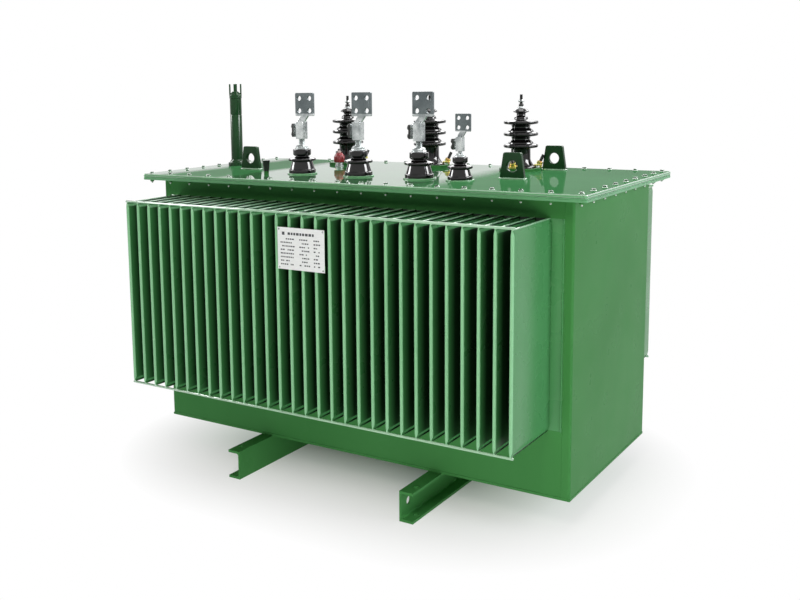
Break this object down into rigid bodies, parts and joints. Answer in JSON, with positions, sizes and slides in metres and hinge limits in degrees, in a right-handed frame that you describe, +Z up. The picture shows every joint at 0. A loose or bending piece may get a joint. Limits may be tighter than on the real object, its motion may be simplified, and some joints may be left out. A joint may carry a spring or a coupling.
{
  "type": "oil-filled power transformer with corrugated tank",
  "caption": "Green oil-immersed power transformer with corrugated cooling walls, bolted cover, high-voltage and low-voltage bushings with drilled palms, and channel skids.",
  "frame": {"origin": "on the ground under the middle of the tank, in the middle of the four anchor holes of the skids", "axes": "+X along the tank, its longest extent; -Y towards the low-voltage side with the nameplate; +Z up"},
  "size_m": [1.708, 1.2705, 1.363],
  "materials": {
    "tank_paint": "gloss",
    "fin_paint": "gloss",
    "porcelain": "gloss",
    "tinned_metal": "satin",
    "zinc_steel": "satin",
    "gasket_rubber": "matte",
    "red_cap": "satin",
    "black_plastic": "satin",
    "plate_metal": "satin"
  },
  "bodies": {
    "root": {"skid_left": "tank_paint", "skid_right": "tank_paint", "base_plate": "tank_paint", "left_end_wall": "tank_paint", "right_end_wall": "tank_paint", "front_apron": "tank_paint", "front_corrugated_wall": "fin_paint", "front_top_band": "tank_paint", "front_tie_rods": "fin_paint", "back_apron": "tank_paint", "back_corrugated_wall": "fin_paint", "back_top_band": "tank_paint", "back_tie_rods": "fin_paint", "tank_rim": "tank_paint", "cover_gasket": "gasket_rubber", "cover_plate": "tank_paint", "lifting_lug_left": "tank_paint", "lifting_lug_right_front": "tank_paint", "lifting_lug_right_back": "tank_paint", "filler_pipe": "tank_paint", "filler_cap": "tank_paint", "relief_valve_body": "zinc_steel", "relief_valve_cap": "red_cap", "thermometer_pocket": "black_plastic", "hv_porcelain_left": "porcelain", "hv_clamp_left": "tank_paint", "hv_terminal_left": "zinc_steel", "hv_porcelain_middle": "porcelain", "hv_clamp_middle": "tank_paint", "hv_terminal_middle": "zinc_steel", "hv_porcelain_right": "porcelain", "hv_clamp_right": "tank_paint", "hv_terminal_right": "zinc_steel", "lv_porcelain_left": "porcelain", "lv_stud_left": "tinned_metal", "lv_connector_left": "tinned_metal", "lv_porcelain_middle": "porcelain", "lv_stud_middle": "tinned_metal", "lv_connector_middle": "tinned_metal", "lv_porcelain_right": "porcelain", "lv_stud_right": "tinned_metal", "lv_connector_right": "tinned_metal", "lv_porcelain_neutral": "porcelain", "lv_stud_neutral": "tinned_metal", "lv_connector_neutral": "tinned_metal", "nameplate_straps": "tank_paint", "nameplate": "plate_metal"}
  },
  "joints": []
}
